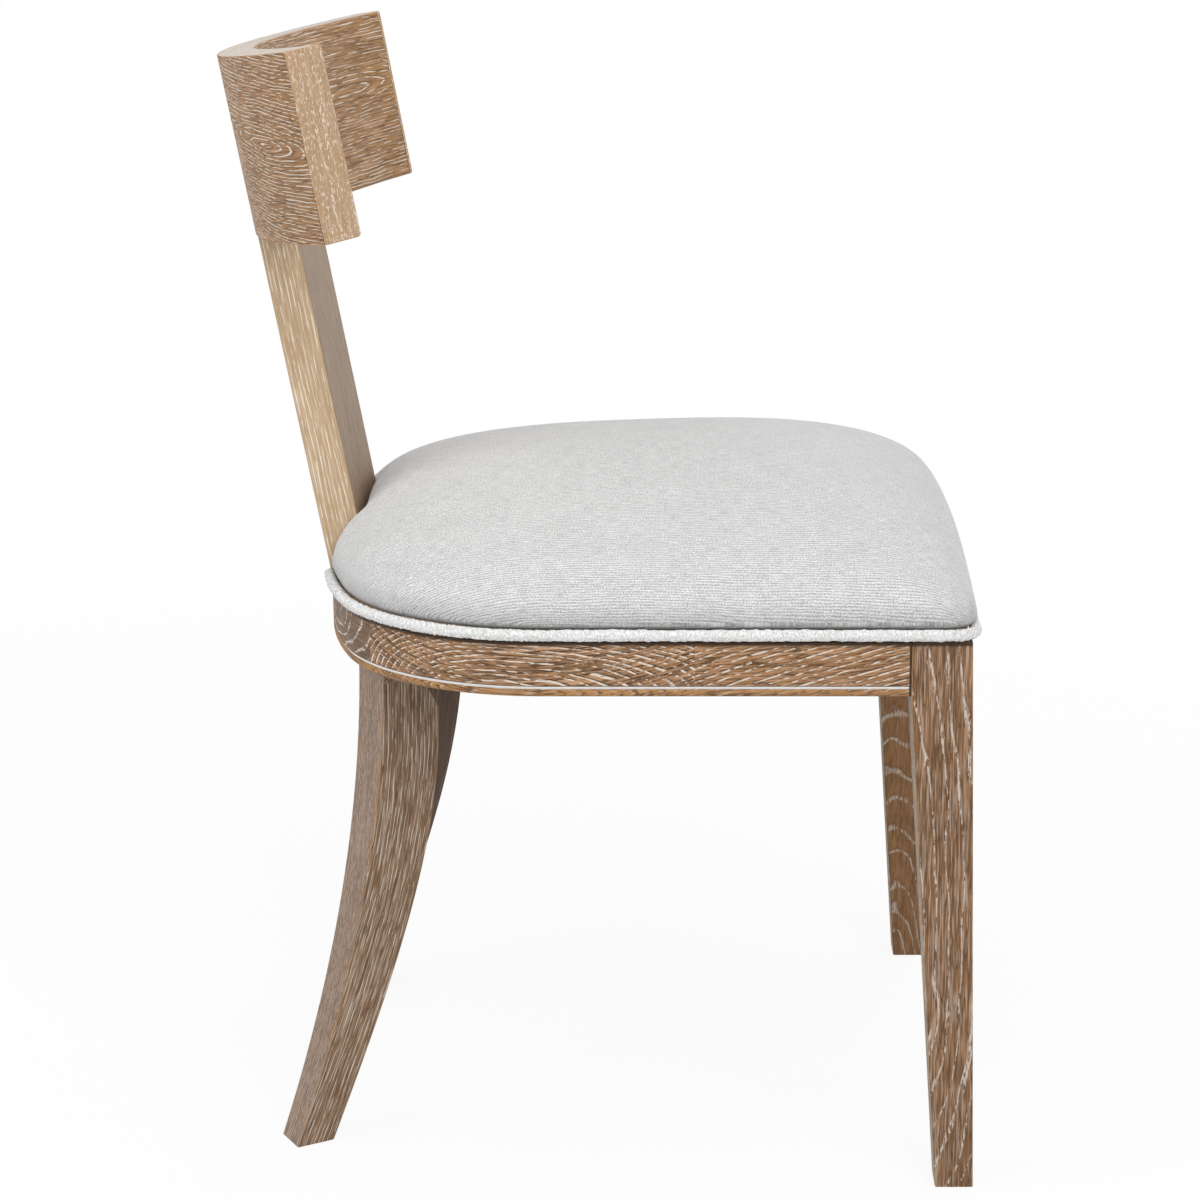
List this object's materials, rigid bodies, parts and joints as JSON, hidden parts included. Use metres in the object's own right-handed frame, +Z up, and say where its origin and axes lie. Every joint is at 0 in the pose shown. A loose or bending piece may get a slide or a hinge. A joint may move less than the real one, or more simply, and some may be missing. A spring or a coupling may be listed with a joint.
{
  "type": "klismos dining chair",
  "caption": "Klismos dining chair with a limed oak frame, a deep curved crest rail on one broad splat, sabre rear legs and a crowned linen seat edged with piping.",
  "frame": {"origin": "on the floor under the middle of the chair's bounding box", "axes": "+Z up, the chair faces -Y, +X is the sitter's left"},
  "size_m": [0.5196, 0.5718, 0.838],
  "materials": {
    "limed_oak": "limed open-pored oak with pale filled grain, low sheen",
    "lipping_oak": "golden oak end lipping, low sheen",
    "plain_oak": "unfinished oak",
    "plywood": "birch plywood, unfinished",
    "linen": "plain woven linen",
    "piping": "pale corded piping",
    "foam": "upholstery foam",
    "screw_steel": "zinc plated"
  },
  "bodies": {
    "root": {"back_splat": "limed_oak", "corner_block_left": "plain_oak", "corner_block_right": "plain_oak", "corner_block_screw_left": "screw_steel", "corner_block_screw_right": "screw_steel", "corner_rail_left": "limed_oak", "corner_rail_right": "limed_oak", "crest_lipping_left": "lipping_oak", "crest_lipping_right": "lipping_oak", "crest_rail": "limed_oak", "front_leg_left": "limed_oak", "front_leg_right": "limed_oak", "front_rail": "limed_oak", "front_seat_screw_left": "screw_steel", "front_seat_screw_right": "screw_steel", "rear_joint_tongue_left": "plain_oak", "rear_joint_tongue_right": "plain_oak", "rear_leg_inner_screw_left": "screw_steel", "rear_leg_inner_screw_right": "screw_steel", "rear_leg_left": "limed_oak", "rear_leg_outer_screw_left": "screw_steel", "rear_leg_outer_screw_right": "screw_steel", "rear_leg_right": "limed_oak", "rear_rail": "limed_oak", "rear_seat_screw_left": "screw_steel", "rear_seat_screw_right": "screw_steel", "seat_board": "plywood", "seat_cleat_left": "plain_oak", "seat_cleat_right": "plain_oak", "seat_cover": "linen", "seat_foam": "foam", "seat_piping": "piping", "side_joint_tongue_left": "plain_oak", "side_joint_tongue_right": "plain_oak", "side_rail_left": "limed_oak", "side_rail_right": "limed_oak"}
  },
  "joints": []
}
